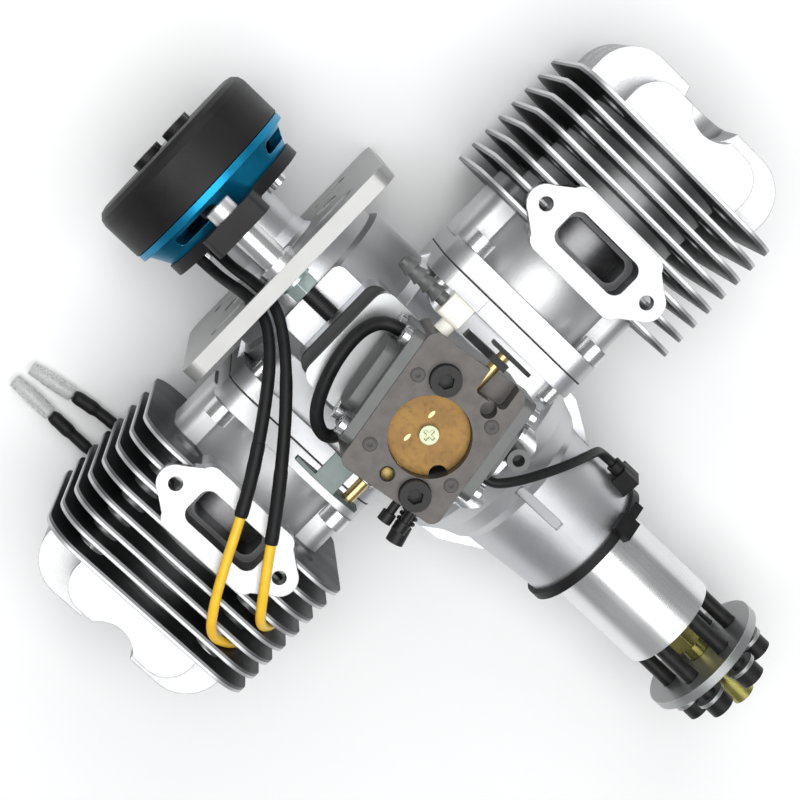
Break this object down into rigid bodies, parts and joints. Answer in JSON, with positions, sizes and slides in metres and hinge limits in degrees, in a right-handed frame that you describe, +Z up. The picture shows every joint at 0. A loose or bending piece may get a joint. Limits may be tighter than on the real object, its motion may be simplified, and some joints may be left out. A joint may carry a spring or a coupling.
{
  "type": "flat twin aircraft engine",
  "caption": "Flat twin two-stroke engine for a small aircraft, with a rear starter-generator, a top carburettor and a bolted propeller drive.",
  "frame": {"origin": "on the crank axis, in the rear face of the mounting plate", "axes": "+X along the crank axis to the propeller end, +Y along the right-hand cylinder, +Z up to the carburettor"},
  "size_m": [0.2505, 0.236, 0.1145],
  "materials": {
    "cast_aluminium": "fine cast skin, bead blasted",
    "machined_aluminium": "machined, lightly brushed",
    "piston_alloy": "turned",
    "ground_steel": "ground and hardened",
    "zinc_steel": "bright zinc plate",
    "black_oxide": "black oxide, slightly oily",
    "green_zinc": "pale green zinc plate",
    "yellow_zinc": "olive yellow zinc plate",
    "zinc_casting": "die cast, warm grey",
    "cover_plate": "dark grey die cast and plated plate",
    "brass": "plain, dull",
    "nylon": "cream moulded",
    "gasket": "black fibre and rubber",
    "blue_anodised": "blue anodised",
    "black_anodised": "matte black anodised",
    "dark_steel": "dark laminated steel",
    "copper_wire": "enamelled copper",
    "black_rubber": "smooth black",
    "clear_plastic": "clear moulded sleeve"
  },
  "bodies": {
    "engine": {"mounting_plate": "machined_aluminium", "plate_screws": "zinc_steel", "case_screws": "zinc_steel", "crankcase_rear": "cast_aluminium", "crankcase_front": "cast_aluminium", "main_bearings": "ground_steel", "cylinder_right": "cast_aluminium", "cylinder_left": "cast_aluminium", "gaskets": "gasket", "base_screws": "zinc_steel", "intake_block": "machined_aluminium", "reed_valve": "ground_steel", "carburettor_body": "zinc_casting", "pump_cover": "cover_plate", "metering_cover": "cover_plate", "cover_screws": "zinc_steel", "carburettor_screws": "zinc_steel", "fuel_inlet": "nylon", "hose_tails": "brass", "adjusting_screws": "black_oxide", "sensor_strap": "black_rubber", "ignition_sensor": "black_rubber", "sensor_cable": "black_rubber", "impulse_hose": "black_rubber", "lead_a": "black_rubber", "lead_b": "black_rubber", "lead_connectors": "clear_plastic", "stator_plate": "black_anodised", "stator_housing": "blue_anodised", "stator_core": "dark_steel", "stator_windings": "copper_wire", "stator_screws": "zinc_steel", "rear_posts": "machined_aluminium", "post_bolts": "black_oxide", "post_nuts": "green_zinc", "throttle_spring": "zinc_steel"},
    "crank": {"crankshaft": "ground_steel", "prop_hub": "machined_aluminium", "prop_screws": "black_oxide", "prop_washer": "machined_aluminium", "prop_stud": "yellow_zinc", "rotor_bell": "black_anodised", "rotor_magnets": "dark_steel", "rotor_screws": "black_oxide"},
    "piston_right": {"piston_right": "piston_alloy", "piston_rings_right": "ground_steel", "wrist_pin_right": "ground_steel"},
    "piston_left": {"piston_left": "piston_alloy", "piston_rings_left": "ground_steel", "wrist_pin_left": "ground_steel"},
    "rod_right": {"conrod_right": "ground_steel", "crankpin_right": "ground_steel"},
    "rod_left": {"conrod_left": "ground_steel", "crankpin_left": "ground_steel"},
    "choke": {"choke_disc": "brass", "choke_spindle": "brass", "choke_levers": "cover_plate"},
    "throttle": {"throttle_disc": "brass", "throttle_spindle": "brass", "throttle_lever": "cover_plate"}
  },
  "joints": [
    {"name": "crank_spin", "type": "hinge", "parent": "engine", "child": "crank", "pos_m": [0, 0, 0], "axis": [1, 0, 0], "continuous": true},
    {"name": "piston_right_slide", "type": "slide", "parent": "engine", "child": "piston_right", "axis": [0, 1, 0], "range_m": [-0.028, 0]},
    {"name": "piston_left_slide", "type": "slide", "parent": "engine", "child": "piston_left", "axis": [0, -1, 0], "range_m": [-0.028, 0]},
    {"name": "rod_right_swing", "type": "hinge", "parent": "piston_right", "child": "rod_right", "pos_m": [0.0603, 0.072, 0], "axis": [1, 0, 0], "range_deg": [-13.9, 13.9]},
    {"name": "rod_left_swing", "type": "hinge", "parent": "piston_left", "child": "rod_left", "pos_m": [0.0403, -0.072, 0], "axis": [1, 0, 0], "range_deg": [-13.9, 13.9]},
    {"name": "choke_turn", "type": "hinge", "parent": "engine", "child": "choke", "pos_m": [0.0558, -0.002, 0.0685], "axis": [0, 1, 0], "range_deg": [0, 75]},
    {"name": "throttle_turn", "type": "hinge", "parent": "engine", "child": "throttle", "pos_m": [0.0558, -0.002, 0.0526], "axis": [0, 1, 0], "range_deg": [0, 75], "stiffness_Nm_per_rad": 0.02}
  ],
  "couplings": [
    {"joint": "piston_left_slide", "follows": "piston_right_slide", "ratio": 1},
    {"joint": "rod_left_swing", "follows": "rod_right_swing", "ratio": 1}
  ]
}
